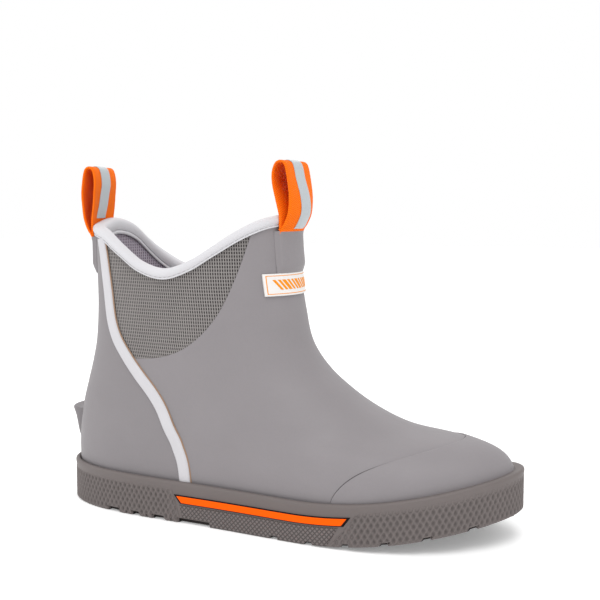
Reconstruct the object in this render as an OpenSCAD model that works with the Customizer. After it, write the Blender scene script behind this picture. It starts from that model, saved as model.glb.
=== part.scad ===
// Ankle deck boot for the right foot: a rubber upper with stretch mesh gores and a bound
// collar, on a cupped rubber sole, with webbing pull loops at the front and the back.
// +X points to the toe, +Y to the inner side of the foot, +Z up. The ground is z = 0.

/* [Sole] */
// Length of the sole from heel to toe
sole_length = 300; // [280:5:320]
// Width of the sole at the ball of the foot
sole_width = 107; // [100:1:114]
// Height of the sidewall's lip at the toe, before the toe spring
lip_toe = 24.5; // [23:0.5:25]
// Height of the sidewall's lip at the heel
lip_heel = 27; // [25:0.5:29]
// How far the toe's ground edge curves up
toe_spring = 17; // [12:0.5:20]
// Depth of the tread
tread_depth = 3.2; // [2.5:0.1:4]
/* [Collar] */
// Height of the collar at the front
collar_front = 190; // [184:1:194]
// Height of the collar at the back
collar_back = 186.5; // [183:0.5:189]
// Height of the collar's dip on the outer side
dip_outer = 157; // [150:0.5:160]
// Height of the collar's dip on the inner side
dip_inner = 153.8; // [146:0.5:158]
// Height of the binding on the outside of the collar
binding_height = 6.5; // [5:0.5:8]
/* [Upper] */
// Thickness of the rubber
rubber = 1.4; // [1:0.1:1.5]
// Thickness of the neoprene lining
lining_thickness = 2; // [1.5:0.1:2.5]
// Lowest point of the gores
gore_low = 100; // [96:1:106]
// Width of the piping that covers the side seams
piping_width = 8; // [6:0.5:9]
/* [Pull loops] */
// Width of the webbing
webbing_width = 33; // [24:1:34]
// Thickness of the webbing
webbing = 1.5; // [1.2:0.1:1.7]
// Height of the front pull loop above the pinch where its two legs meet
front_loop_height = 40; // [34:1:44]
// Height of the rear pull loop above its pinch
rear_loop_height = 42; // [38:1:48]
// Width of the reflective tape
tape_width = 13; // [8:1:16]

/* [Hidden] */

grey = "#9a9698";
sole_grey = "#746c69";
white = "#e6e4e8";
orange = "#f4701c";

// Nominal size of the tables below; the driving sizes stretch them.
table_length = 300;
table_width = 107;
kx = sole_length / table_length;
ky = sole_width / table_width;

// The boot's outline at a height is drawn with the angle t: 0 at the toe, 90 on the outer side,
// 180 at the heel, 270 on the inner side. x follows cos(t) between the back and the front, and
// the half width follows a sine series through the five half widths at t = 30, 60 ... 150.
sole_half_widths = [34.5, 53.5, 46.5, 41, 29.5];
// Upper: height, back, front, then the five half widths
last = [
    [ 12,  3.5, 295,   30.5, 49.5, 42.5, 37,   26],
    [ 24,  2.5, 294.5, 31,   50,   43,   37.5, 27],
    [ 36,  2.5, 286,   30.5, 49.5, 43.5, 38,   27.5],
    [ 48,  4,   264,   28.5, 46,   43,   38.5, 28],
    [ 58,  6.5, 236,   26,   42,   42.5, 38,   28],
    [ 68,  9,   216,   25.5, 41,   42,   37.5, 27.5],
    [ 80, 13,   198,   25,   39.5, 41.5, 37.5, 27],
    [ 94, 18,   181,   24.5, 39,   42,   38,   27.5],
    [110, 22.5, 170,   24,   39.5, 43,   39.5, 28.5],
    [130, 25,   164.5, 24.5, 40,   44.5, 41,   29.5],
    [150, 25.3, 161,   25,   41,   45.5, 42,   30],
    [175, 25.5, 158.5, 25,   41.5, 46,   42.5, 30.5],
    [200, 23.5, 158.5, 25,   42,   46,   42.5, 30.5]
];
// Side seam between vamp and heel quarter: height, angle
seam = [
    [12, 107], [24, 108], [45, 106.3], [58, 104.2], [70, 103.6], [80, 106], [90, 111],
    [100, 117], [113, 125], [126, 129.5], [147, 131.7], [163, 134.3], [175, 137], [200, 139]
];
// Collar round the opening: angle from the toe, height. The shaft sits slightly twisted on the foot.
rim_outer = [
    [-15, collar_front], [0, collar_front], [15, collar_front - 1], [30, collar_front - 3.5],
    [45, 180.5], [60, 171.5], [75, dip_outer + 5], [90, dip_outer], [105, dip_outer + 4], [120, 171],
    [135, 179.7], [150, collar_back - 4.2], [165, collar_back - 2.2], [180, collar_back], [195, collar_back - 3.8]
];
rim_inner = [
    [-15, collar_front - 1], [0, collar_front], [15, collar_front], [30, collar_front - 2], [45, 184],
    [60, 176.5], [75, 166.5], [90, dip_inner + 4], [105, dip_inner], [120, dip_inner + 1.4], [135, 162.9],
    [150, 172.2], [165, collar_back - 3.8], [180, collar_back], [195, collar_back - 2.2]
];
spring_start = 178;     // where the toe spring begins
lip_spring = 0.8;       // extra lift of the lip at the toe
lip_rise = 25;          // height by which that extra lift is complete
toe_bend = 8;           // how far the toe swings to the inner side
waist_bend = 4;         // how far the waist swings to the outer side
gap = 0.4;              // glue line between layers
inside = rubber + 1.6 + lining_thickness;   // depth of the lining's inner face
upper_low = 14.6;       // lower edge of the upper, inside the sole
board_top = 14;
board_thickness = 1.8;
footbed_top = 18;
gore_angle = 118;       // angle of the gore's lowest point
gore_span = 80;         // angle from there to the gore's top corner
gore_high = 177;
gore_power = 2.6;
cap_angle = 67;         // half angle that the toe cap wraps
cap_high = 47;
plate_low = tread_depth;
plate_high = 5;
bumper = 0.9;           // thickness of the bumpers and side panels
panel_high = 19.5;      // top of the textured part of the sidewall
stripe_low = 12.3;
stripe_high = 17.5;
stripe_border = 0.6;
front_pinch = collar_front - 9.5;   // hinge line of the front pull loop
rear_pinch = collar_back - 10.5;      // hinge line of the rear pull loop
loop_gap = 1.2;         // a loop's lowest point above its hinge line
loop_off = 3.4;         // distance of a pinched loop from the wall of the upper
front_centre = 0;       // angle at which the front pull loop stands
rear_centre = 170;      // and the rear one
front_degrees = 1.125;  // angle round the collar's front for 1 mm of webbing width
rear_degrees = 0.861;   // the same at the back
// How far the middle of a pull loop stands outwards, by height above its pinch
front_lean = [[0, 0], [4, 1.2], [8.5, 2], [14, 1.4], [20, 0.1], [26, -1.5], [32, -2.5], [40, -2.3]];
rear_lean = [[0, 0], [5, 1.35], [10.5, 2], [18, 1.5], [25, 1.1], [32, 0.2], [42, 0]];
front_belly = 4.25;     // half depth of a loop at its widest
rear_belly = 3.3;

// ---- curves ----
sine_matrix = [for (k = [1:5]) [for (j = [1:5]) sin(30 * j * k) / 3]];
function half_width(w, t) = [for (k = [1:5]) sin(k * t)] * (sine_matrix * w);
function tail(v) = [for (i = [1:len(v) - 1]) v[i]];
function slope(tb, i) = let (n = len(tb) - 1)
    i == 0 ? (tail(tb[1]) - tail(tb[0])) / (tb[1][0] - tb[0][0]) :
    i == n ? (tail(tb[n]) - tail(tb[n - 1])) / (tb[n][0] - tb[n - 1][0]) :
    (tail(tb[i + 1]) - tail(tb[i - 1])) / (tb[i + 1][0] - tb[i - 1][0]);
function segment(tb, z, i = 0) = i >= len(tb) - 2 || z < tb[i + 1][0] ? i : segment(tb, z, i + 1);
// Smooth curve through the rows of a table, whose first column is the height
function smooth(tb, z) =
    let (i = segment(tb, z), h = tb[i + 1][0] - tb[i][0], s = (z - tb[i][0]) / h)
    (2 * s^3 - 3 * s^2 + 1) * tail(tb[i]) + (s^3 - 2 * s^2 + s) * h * slope(tb, i)
    + (3 * s^2 - 2 * s^3) * tail(tb[i + 1]) + (s^3 - s^2) * h * slope(tb, i + 1);
function turn(t) = abs(t > 180 ? t - 360 : t);
function seam_angle(z) = smooth(seam, z)[0];
// Height of the collar round the opening
function rim(t) = smooth(t > 0 && t < 180 ? rim_outer : rim_inner, turn(t))[0];
function gore_edge(t) = turn(t) >= gore_angle ? gore_low :
    gore_low + (gore_high - gore_low) * ((gore_angle - turn(t)) / gore_span)^gore_power;
function cap_edge(t) = 22 + (cap_high - 22) * sqrt(max(0, 1 - (turn(t) / cap_angle)^6));

// ---- placing ----
function bend(x) = let (s = x / table_length) toe_bend * s^3 - waist_bend * sin(180 * max(0, min(1, s)));
function lift(x, z) = let (s = max(0, (x - spring_start) / (table_length - spring_start)))
    s^2 * (1 - 0.22 * s^2) / 0.78 * (toe_spring + lip_spring * max(0, min(1, z / lip_rise)));
function place(x, y, z) = [kx * (x - table_length / 2), ky * (y + bend(x)), z + lift(x, z)];
function wall_point(t, z) = let (r = smooth(last, z))
    let (x = (r[0] + r[1]) / 2 + (r[1] - r[0]) / 2 * cos(t))
    place(x, -half_width([for (i = [2:6]) r[i]], t), z);
function unit(v) = v / norm(v);
function wall_normal(t, z) = unit(cross(
    wall_point(t, z + 0.5) - wall_point(t, z - 0.5), wall_point(t + 0.5, z) - wall_point(t - 0.5, z)));
// Point of the upper at angle t and height z, moved out by off
function wall(t, z, off = 0) = off == 0 ? wall_point(t, z) : wall_point(t, z) + off * wall_normal(t, z);
function lip(x) = lip_toe + (lip_heel - lip_toe) * (1 - x / table_length);
function sole_x(t) = table_length / 2 * (1 + cos(t));
function sole_plan(t) = [sole_x(t), -half_width(sole_half_widths, t)];
// Point of the sole's edge at angle t and height z, moved out by off
function edge(t, z, off = 0) =
    let (p = sole_plan(t), d = sole_plan(t - 0.5) - sole_plan(t + 0.5), n = unit([-d[1], d[0]]))
    place(p[0] - off * n[0], p[1] - off * n[1], z);

// ---- solids ----
function tri(a, b, c, d) = [[a, b, c], [a, c, d]];
// Solid through a list of loops with equal point counts. A closed one joins its last loop to
// its first; an open one gets a ladder of faces across each end.
module skin(loops, closed = false) {
    n = len(loops);
    m = len(loops[0]);
    last_i = closed ? n - 1 : n - 2;
    sides = [for (i = [0:last_i], j = [0:m - 1]) let (a = (i + 1) % n, b = (j + 1) % m)
        each tri(i * m + j, a * m + j, a * m + b, i * m + b)];
    starts = closed ? [] : [for (j = [0:m / 2 - 2]) each tri(j, j + 1, m - 2 - j, m - 1 - j)];
    o = (n - 1) * m;
    ends = closed ? [] : [for (j = [0:m / 2 - 2]) each tri(o + j, o + m - 1 - j, o + m - 2 - j, o + j + 1)];
    polyhedron(points = [for (l = loops) each l], faces = concat(sides, starts, ends), convexity = 8);
}
// Loop through a layer of the upper at one column, from its low to its high edge
function layer(col, low, high, steps, inner, outer, power = 1) = concat(
    [for (k = [0:steps]) let (z = low + (high - low) * (k / steps)^power) wall(col(z), z, outer)],
    [for (k = [steps:-1:0]) let (z = low + (high - low) * (k / steps)^power) wall(col(z), z, inner)]);
// Column of the vamp at share p of the way to the seam
function vamp_top(p) = let (
    z1 = min(rim(p * 125) - 2, gore_edge(p * 120)),
    z2 = min(rim(p * seam_angle(z1)) - 2, gore_edge(p * seam_angle(z1))),
    z3 = min(rim(p * seam_angle(z2)) - 2, gore_edge(p * seam_angle(z2))))
    min(rim(p * seam_angle(z3)) - 2, gore_edge(p * seam_angle(z3)));

// ---- upper ----
module vamp() color(grey) {
    steps = 44;
    edge_gap = 0.4;
    skin([for (i = [0:steps]) let (p = 2 * i / steps - 1, share = p)
        layer(function (z) share * (seam_angle(z) - edge_gap), upper_low, vamp_top(p), 17, -rubber, 0, 1.5)]);
}

// Column of the heel quarter at share q of the way round the back, and the column's top
function quarter_angle(q, z) = let (a = seam_angle(z) + gap) a + q * (360 - 2 * a);
function quarter_top(q) = let (z1 = rim(quarter_angle(q, 170)) - 2, z2 = rim(quarter_angle(q, z1)) - 2)
    rim(quarter_angle(q, z2)) - 2;
module heel_quarter() color(grey) {
    steps = 24;
    skin([for (i = [0:steps]) let (q = i / steps)
        layer(function (z) quarter_angle(q, z), upper_low, quarter_top(q), 12, -rubber, 0)]);
}

module gore(side) color("#7f7b77") {
    steps = 13;
    first = side > 0 ? 0.268 : 0.259;
    loops = [for (i = [0:steps]) let (p = first + (1 - first) * i / steps, low = vamp_top(side * p) + gap)
        let (z1 = rim(side * p * seam_angle(170)), high = rim(side * p * seam_angle(z1)) - 3)
        layer(function (z) side * p * (seam_angle(z) - gap), low, high, 8, -rubber, -0.2)];
    skin(side > 0 ? loops : [for (i = [steps:-1:0]) loops[i]]);
}

module toe_cap() color(grey) {
    steps = 24;
    reach = cap_angle - 1.5;
    skin([for (i = [0:steps]) let (t = reach * (2 * i / steps - 1))
        layer(function (z) t, 26.5, max(28, cap_edge(t)), 6, gap, gap + 0.7)]);
}

// Height of the collar where a side seam meets it
function seam_top(side) = let (z1 = rim(side * 134), z2 = rim(side * seam_angle(z1))) min(z1, z2);
module piping(side) color(white) {
    steps = 34;
    low = 28.5;
    high = seam_top(side) - (side > 0 ? 7.6 : 9);
    loops = [for (i = [0:steps])
        let (z = low + (high - low) * i / steps, t = side * seam_angle(z), c = wall(t, z), n = wall_normal(t, z))
        let (along = unit(wall(side * seam_angle(z + 1), z + 1) - wall(side * seam_angle(z - 1), z - 1)))
        let (across = unit(cross(along, n)) * piping_width / 2)
        [c - across + n * (gap + 0.3), c - 0.8 * across + n * (gap + 1.2),
         c + 0.8 * across + n * (gap + 1.2), c + across + n * (gap + 0.3)]];
    skin(loops);
}

module collar_binding() color(white) {
    steps = 60;
    out = 1.2;
    in = -inside - gap;
    skin([for (i = [0:steps - 1]) let (t = 360 * i / steps, r = rim(t), low = r - binding_height)
        [wall(t, low, gap), wall(t, low, out), wall(t, r - 1, out), wall(t, r, out - 1),
         wall(t, r, in), wall(t, r - 1, in - 1), wall(t, low, in - 1), wall(t, low, in),
         wall(t, r - 1.4, in), wall(t, r - 1.4, gap)]], closed = true);
}

module lining() color("#6d6872") {
    steps = 44;
    inner = -inside;
    skin([for (i = [0:steps - 1]) let (t = 360 * i / steps)
        layer(function (z) t, upper_low, rim(t) - 2, 13, inner, inner + lining_thickness, 1.3)], closed = true);
}

module toe_puff() color("#c9bfa6") {
    steps = 16;
    skin([for (i = [0:steps]) let (t = 62 * (2 * i / steps - 1))
        layer(function (z) t, upper_low, max(20, cap_edge(t) - 6), 5, -rubber - 1.2, -rubber - 0.5)]);
}

module heel_counter() color("#c9bfa6") {
    steps = 14;
    skin([for (i = [0:steps]) let (a = 2 * i / steps - 1, t = 180 + 55 * a)
        layer(function (z) t, upper_low, 62 - 22 * a^4, 6, -rubber - 1.2, -rubber - 0.5)]);
}

// Ledge at the back of the heel for kicking the boot off
module heel_kick() color(grey) {
    steps = 8;
    half_angle = 11;
    reach = 9;
    skin([for (i = [0:steps]) let (s = 2 * i / steps - 1, t = 180 + half_angle * s, out = reach - 2 * s^4)
        [wall(t, 40, gap), wall(t, 41, gap + 0.8), wall(t, 49, gap + 0.5 * out), wall(t, 57, out),
         wall(t, 58, out), wall(t, 58.5, out - 0.8), wall(t, 58.5, gap + 1), wall(t, 58.5, gap)]]);
}

// ---- collar pieces ----
module patch(centre, half_angle, low, high, inner, outer, steps = 8) {
    skin([for (i = [0:steps]) let (t = centre + half_angle * (2 * i / steps - 1))
        layer(function (z) t, low, high, 3, inner, outer)]);
}
module front_loop_tail() color(orange)
    patch(front_centre, front_degrees * webbing_width / 2, front_pinch - 24, front_pinch - 0.3, gap, 2.3);
module front_tail_cover() color(grey)
    patch(front_centre, front_degrees * webbing_width / 2 + 2, front_pinch - 25.5, front_pinch - 0.7, 2.7, 3.4);
module rear_loop_tail() color(orange)
    patch(rear_centre, rear_degrees * webbing_width / 2, rear_pinch - 22, rear_pinch - 1.1, gap, 2.3);
module rear_tail_cover() color(grey)
    patch(rear_centre, rear_degrees * webbing_width / 2 + 2, rear_pinch - 23.5, rear_pinch - 1.5, 2.7, 3.4);
module label() color("#f3efe9")
    patch(0, 32.5, 140.5, 154, gap, gap + 1, 12);

// ---- pull loops ----
// Middle line of a loop's webbing as [outwards, up] at angle a: 0 at the pinch, 180 at the top
function loop_path(a, height, belly, lean) = let (up = height * (1 - cos(a)) / 2)
    [smooth(lean, up)[0] + belly * sin(a) * abs(sin(a / 2)) / 0.77 + 0.95 * sin(a) / max(0.3, abs(sin(a))), up];
// Where a loop stands off the wall at a pinch, seen from above
function flat_point(t, pinch) = let (p = wall(t, pinch, loop_off)) [p[0], p[1]];
// Point of the webbing at angle a, u from -1 to 1 across the width, h out from its middle line
function loop_point(t0, degrees, pinch, height, belly, lean, a, u, width, h) =
    let (p = loop_path(a, height, belly, lean))
    let (d = loop_path(a + 1, height, belly, lean) - loop_path(a - 1, height, belly, lean))
    let (q = p + h * [d[1], -d[0]] / norm(d))
    let (n = wall_normal(t0, pinch), out = unit([n[0], n[1]]), side = [-out[1], out[0]])
    let (half = degrees * webbing_width / 2, base = flat_point(t0 + u * degrees * width / 2, pinch))
    let (flat = (2 * flat_point(t0, pinch) + flat_point(t0 - half, pinch) + flat_point(t0 + half, pinch)) * out / 4)
    let (straight = min(1, max(0, (p[1] - 12) / 18)))
    let (xy = (base * out + straight * (flat - base * out) + q[0]) * out + (base * side) * side)
    [xy[0], xy[1], pinch + loop_gap + q[1]];
function loop_section(t0, degrees, pinch, height, belly, lean, a, width, inner, outer) = concat(
    [for (u = [-1:0.5:1]) loop_point(t0, degrees, pinch, height, belly, lean, a, u, width, inner)],
    [for (u = [1:-0.5:-1]) loop_point(t0, degrees, pinch, height, belly, lean, a, u, width, outer)]);
module front_loop(from, to, width, inner, outer, closed = false) {
    n = round((to - from) / 12);
    skin([for (i = [0:closed ? n - 1 : n]) loop_section(front_centre, front_degrees, front_pinch, front_loop_height,
        front_belly, front_lean, from + (to - from) * i / n, width, inner, outer)], closed);
}
module rear_loop(from, to, width, inner, outer, closed = false) {
    n = round((to - from) / 12);
    skin([for (i = [0:closed ? n - 1 : n]) loop_section(rear_centre, rear_degrees, rear_pinch, rear_loop_height,
        rear_belly, rear_lean, from + (to - from) * i / n, width, inner, outer)], closed);
}
module front_pull_loop() color(orange)
    front_loop(0, 360, webbing_width, -webbing / 2, webbing / 2, true);
module rear_pull_loop() color(orange)
    rear_loop(0, 360, webbing_width, -webbing / 2, webbing / 2, true);
module front_loop_tape() color("#b3b9bd")
    front_loop(36, 300, tape_width, webbing / 2 + gap, webbing / 2 + 2 * gap);
module rear_loop_tape() color("#b3b9bd")
    rear_loop(36, 300, tape_width, webbing / 2 + gap, webbing / 2 + 2 * gap);

// ---- sole ----
module sidewall() color(sole_grey) {
    steps = 72;
    low = plate_high + gap;
    ledge = upper_low - gap;
    skin([for (i = [0:steps - 1]) let (t = 360 * i / steps, top = lip(sole_x(t)))
        [edge(t, low, -4.6), edge(t, low, -0.5), edge(t, low + 0.6, 0), edge(t, top - 1.4, 0),
         edge(t, top, -1), wall(t, top, 2 * gap), wall(t, ledge, 2 * gap), edge(t, ledge, -4.6)]], closed = true);
}
// Thin layer on the sidewall between two angles, with slanted ends
module band(from, to, slant, low, high, inner, outer, steps) {
    skin([for (i = [0:steps]) let (s = i / steps, a = from + (to - from) * s, b = a + slant * (1 - 2 * s))
        [edge(a, low, inner), edge(a, low, outer), edge(b, high, outer), edge(b, high, inner)]]);
}
toe_angle = 66.9;       // where the toe bumper ends at its foot
heel_angle = 109.5;     // where the heel bumper starts
stripe_from = 65.5;
stripe_to = 109;
textured_low = plate_high + gap + 0.8;
module toe_bumper() color("#696160")
    band(-toe_angle, toe_angle, 5.1, textured_low, panel_high, gap, bumper, 40);
module heel_bumper() color("#696160")
    band(heel_angle, 360 - heel_angle, 1.8, textured_low, panel_high, gap, bumper, 40);
module side_panel(side) color("#776e6d") {
    from = side > 0 ? toe_angle + 0.7 : 360.7 - heel_angle;
    to = side > 0 ? heel_angle - 0.7 : 359.3 - toe_angle;
    band(from, to, -0.7, textured_low, stripe_low - 0.6, gap, bumper, 14);
}
module stripe_bed(side) color("#1d1a1a") {
    from = side > 0 ? stripe_from : 360 - stripe_to;
    band(from, from + stripe_to - stripe_from, -1.75, stripe_low, stripe_high, 0.1, 0.6, 14);
}
module stripe(side) color("#f25c05") {
    from = side > 0 ? stripe_from : 360 - stripe_to;
    band(from + 0.6, from + stripe_to - stripe_from - 0.6, -1.55, stripe_low + stripe_border,
        stripe_high - stripe_border, 0.65, 1.1, 14);
}

// Flat piece that fills the sole's outline, inset, between two heights
module plate(inset, low, high, steps = 36) {
    skin([for (i = [1:steps - 1]) let (t = 180 * i / steps)
        [edge(t, low, -inset), edge(t, high, -inset), edge(-t, high, -inset), edge(-t, low, -inset)]]);
}
// Flat piece that fills the inside of the upper between two heights
module filling(inset, low, high, steps = 36) {
    skin([for (i = [1:steps - 1]) let (t = 180 * i / steps)
        [wall(t, low, -inset), wall(t, high, -inset), wall(-t, high, -inset), wall(-t, low, -inset)]]);
}
// Tread block from x1 to x2, between two shares of the half width
module lug(x1, x2, share1, share2) {
    steps = max(1, round((x2 - x1) * max(abs(share1), abs(share2)) / 9));
    skin([for (i = [0:steps]) let (x = x2 - (x2 - x1) * i / steps, t = acos(2 * x / table_length - 1))
        let (y1 = share1 * half_width(sole_half_widths, t), y2 = share2 * half_width(sole_half_widths, t))
        [place(x, -y2, 0), place(x, -y2, plate_low + 0.5), place(x, -y1, plate_low + 0.5), place(x, -y1, 0)]]);
}
// Notches along the tread's edge; the longest is the arch, which runs right across
heel_notches = [[45, 54.5], [65, 71], [81, 90], [100, 122.5]];
front_notches = [for (i = [0:5]) [165 + 22.6 * i, 169.6 + 22.6 * i]];
notches = concat(heel_notches, front_notches);
heel_end = 12;
toe_end = 287;
rail_in = 0.64;
rail_out = 0.97;
module outsole() color("#5d5553") {
    plate(0.6, plate_low, plate_high, 48);
    lug(1.5, heel_end, -rail_out, rail_out);
    lug(toe_end, 298, -rail_out, rail_out);
    for (i = [0:len(notches)])
        for (side = [-1, 1])
            lug(i == 0 ? heel_end : notches[i - 1][1], i == len(notches) ? toe_end : notches[i][0],
                side > 0 ? rail_in : -rail_out, side > 0 ? rail_out : -rail_in);
    for (x = concat([for (i = [0:6]) 14.5 + 12.3 * i], [for (i = [0:12]) 123 + 12.6 * i]))
        for (share = [[-0.58, -0.22], [-0.16, 0.16], [0.22, 0.58]])
            lug(x, x + 10.2, share[0], share[1]);
}
shank_size = [104, 17, 1.2];
shank_x = 121;
module midsole() color("#d8d3cc")
    difference() {
        plate(5, plate_high + gap, board_top - board_thickness - gap);
        translate([kx * (shank_x - table_length / 2), -waist_bend + 0.4, board_top - board_thickness])
            cube([shank_size[0] + 1, shank_size[1] + 1, 2 * (shank_size[2] + 2 * gap)], center = true);
    }
module shank() color("#9aa0a6")
    translate([kx * (shank_x - table_length / 2), -waist_bend + 0.4,
            board_top - board_thickness - gap - shank_size[2] / 2])
        cube(shank_size, center = true);
module insole_board() color("#b89b72")
    plate(5, board_top - board_thickness, board_top);
module footbed() color("#4a5560")
    filling(inside + gap, board_top + gap, footbed_top);
module footbed_cover() color("#33383d")
    filling(inside + gap, footbed_top + gap, footbed_top + gap + 0.8);

outsole();
sidewall();
toe_bumper();
heel_bumper();
side_panel(1);  // outer_side_panel
side_panel(-1);  // inner_side_panel
stripe_bed(1);  // outer_stripe_bed
stripe_bed(-1);  // inner_stripe_bed
stripe(1);  // outer_stripe
stripe(-1);  // inner_stripe
midsole();
shank();
insole_board();
footbed();
footbed_cover();
lining();
toe_puff();
heel_counter();
vamp();
heel_quarter();
toe_cap();
gore(1);  // outer_gore
gore(-1);  // inner_gore
piping(1);  // outer_piping
piping(-1);  // inner_piping
collar_binding();
heel_kick();
front_loop_tail();
front_tail_cover();
label();
rear_loop_tail();
rear_tail_cover();
front_pull_loop();
front_loop_tape();
rear_pull_loop();
rear_loop_tape();
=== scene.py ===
"""Looks of an ankle deck boot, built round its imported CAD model.

Lengths are in millimetres until a mesh is made; heights are above the ground. The boot is drawn
in the coordinates of its CAD source: x runs from the heel at 0 to the toe at 300 and is then
centred, an outline angle t is 0 at the toe, 90 on the outer side and 180 at the heel.
"""

import math

import bpy
import numpy as np
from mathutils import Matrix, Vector


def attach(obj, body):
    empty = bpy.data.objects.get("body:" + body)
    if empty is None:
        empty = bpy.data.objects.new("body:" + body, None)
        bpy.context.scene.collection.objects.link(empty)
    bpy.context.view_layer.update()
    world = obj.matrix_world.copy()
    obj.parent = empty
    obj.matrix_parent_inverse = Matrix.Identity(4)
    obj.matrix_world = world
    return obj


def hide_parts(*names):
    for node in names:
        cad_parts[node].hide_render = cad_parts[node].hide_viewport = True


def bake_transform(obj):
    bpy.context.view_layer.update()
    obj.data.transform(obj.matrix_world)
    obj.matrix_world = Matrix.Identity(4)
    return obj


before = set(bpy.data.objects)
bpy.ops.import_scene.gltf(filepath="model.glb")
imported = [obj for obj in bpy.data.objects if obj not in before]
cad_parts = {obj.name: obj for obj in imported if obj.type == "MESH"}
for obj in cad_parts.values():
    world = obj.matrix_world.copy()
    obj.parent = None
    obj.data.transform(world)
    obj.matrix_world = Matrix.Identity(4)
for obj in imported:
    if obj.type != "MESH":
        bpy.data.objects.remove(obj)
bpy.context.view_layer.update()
MM = 0.001

# ---------------------------------------------------------------- sizes, as in the CAD source
LENGTH = 300.0
SOLE_HALF_WIDTHS = [34.5, 53.5, 46.5, 41, 29.5]
# Height, back, front and five half widths of the upper
LAST = [
    [12, 3.5, 295, 30.5, 49.5, 42.5, 37, 26],
    [24, 2.5, 294.5, 31, 50, 43, 37.5, 27],
    [36, 2.5, 286, 30.5, 49.5, 43.5, 38, 27.5],
    [48, 4, 264, 28.5, 46, 43, 38.5, 28],
    [58, 6.5, 236, 26, 42, 42.5, 38, 28],
    [68, 9, 216, 25.5, 41, 42, 37.5, 27.5],
    [80, 13, 198, 25, 39.5, 41.5, 37.5, 27],
    [94, 18, 181, 24.5, 39, 42, 38, 27.5],
    [110, 22.5, 170, 24, 39.5, 43, 39.5, 28.5],
    [130, 25, 164.5, 24.5, 40, 44.5, 41, 29.5],
    [150, 25.3, 161, 25, 41, 45.5, 42, 30],
    [175, 25.5, 158.5, 25, 41.5, 46, 42.5, 30.5],
    [200, 23.5, 158.5, 25, 42, 46, 42.5, 30.5],
]
# Height and angle of the side seam
SEAM = [
    [12, 107], [24, 108], [45, 106.3], [58, 104.2], [70, 103.6], [80, 106], [90, 111],
    [100, 117], [113, 125], [126, 129.5], [147, 131.7], [163, 134.3], [175, 137], [200, 139],
]
# Angle from the toe and height of the collar's edge, on the outer and inner sides
RIM_OUTER = [
    [-15, 190], [0, 190], [15, 189], [30, 186.5], [45, 180.5], [60, 171.5], [75, 162], [90, 157],
    [105, 161], [120, 171], [135, 179.7], [150, 182.3], [165, 184.3], [180, 186.5], [195, 182.7],
]
RIM_INNER = [
    [-15, 189], [0, 190], [15, 190], [30, 188], [45, 184], [60, 176.5], [75, 166.5], [90, 157.8],
    [105, 153.8], [120, 155.2], [135, 162.9], [150, 172.2], [165, 182.7], [180, 186.5], [195, 184.3],
]
SPRING_START, TOE_SPRING, LIP_SPRING, LIP_RISE = 178, 17, 0.8, 25
SPRING_EASE = 0.22
TOE_BEND, WAIST_BEND = 8, 4
LIP_TOE, LIP_HEEL = 24.5, 27
RUBBER = 1.4
LINING_OUT, LINING_IN = 3.0, 5.0
UPPER_LOW, SIDEWALL_LOW = 14.6, 14.4
SEAM_GAP = 0.4
BINDING_COVERS = 2.0
GORE_LOW, GORE_HIGH, GORE_ANGLE, GORE_SPAN, GORE_POWER = 100, 177, 118, 80, 2.6
GORE_RIB = 1.5
CAP_ANGLE, CAP_LOW, CAP_HIGH, CAP_POWER, CAP_ROUND = 68.2, 22, 47, 4.4, 0.56
FRONT_PINCH, REAR_PINCH = 180.5, 176
LOOP_OFF, LOOP_GAP = 3.4, 1.2
WEBBING_WIDTH, TAPE_WIDTH = 33, 13

# ---------------------------------------------------------------- curves and surfaces


def smooth(table, z):
    """Smooth curve through a table's rows, whose first column is a height or an angle."""
    table = np.asarray(table, float)
    x, y = table[:, 0], table[:, 1:]
    slope = np.empty_like(y)
    slope[1:-1] = (y[2:] - y[:-2]) / (x[2:] - x[:-2])[:, None]
    slope[0] = (y[1] - y[0]) / (x[1] - x[0])
    slope[-1] = (y[-1] - y[-2]) / (x[-1] - x[-2])
    z = np.asarray(z, float)
    i = np.clip(np.searchsorted(x, z, side="right") - 1, 0, len(x) - 2)
    h = x[i + 1] - x[i]
    s = ((z - x[i]) / h)[..., None]
    h = h[..., None]
    return ((2 * s**3 - 3 * s**2 + 1) * y[i] + (s**3 - 2 * s**2 + s) * h * slope[i]
            + (3 * s**2 - 2 * s**3) * y[i + 1] + (s**3 - s**2) * h * slope[i + 1])


HARMONICS = np.arange(1, 6)
SINES = np.sin(np.radians(30 * np.outer(HARMONICS, HARMONICS))) / 3


def half_width(widths, t):
    """Half width at angle t from the five half widths at 30, 60 ... 150 degrees."""
    waves = np.sin(np.radians(np.asarray(t, float)[..., None] * HARMONICS))
    return np.sum(waves * (np.asarray(widths) @ SINES.T), axis=-1)


def bend(x):
    """Sideways curve of the foot: outwards at the waist, inwards at the toe."""
    s = x / LENGTH
    return TOE_BEND * s**3 - WAIST_BEND * np.sin(np.pi * np.clip(s, 0, 1))


def lift(x, z):
    """Toe spring: steeper at first, easing off towards the tip."""
    s = np.maximum(0, (x - SPRING_START) / (LENGTH - SPRING_START))
    share = s**2 * (1 - SPRING_EASE * s**2) / (1 - SPRING_EASE)
    return share * (TOE_SPRING + LIP_SPRING * np.clip(z / LIP_RISE, 0, 1))


def place(x, y, z):
    """From the coordinates of the tables to the boot's own frame."""
    return np.stack([x - LENGTH / 2, y + bend(x), z + lift(x, z)], axis=-1)


def wall_point(t, z):
    """Point of the upper's face."""
    row = smooth(LAST, z)
    x = (row[..., 0] + row[..., 1]) / 2 + (row[..., 1] - row[..., 0]) / 2 * np.cos(np.radians(t))
    return place(x, -half_width(row[..., 2:], t), z)


def wall_normal(t, z):
    """Direction out of the upper's face."""
    up = wall_point(t, z + 0.5) - wall_point(t, z - 0.5)
    along = wall_point(t + 0.5, z) - wall_point(t - 0.5, z)
    n = np.cross(up, along)
    return n / np.linalg.norm(n, axis=-1, keepdims=True)


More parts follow.
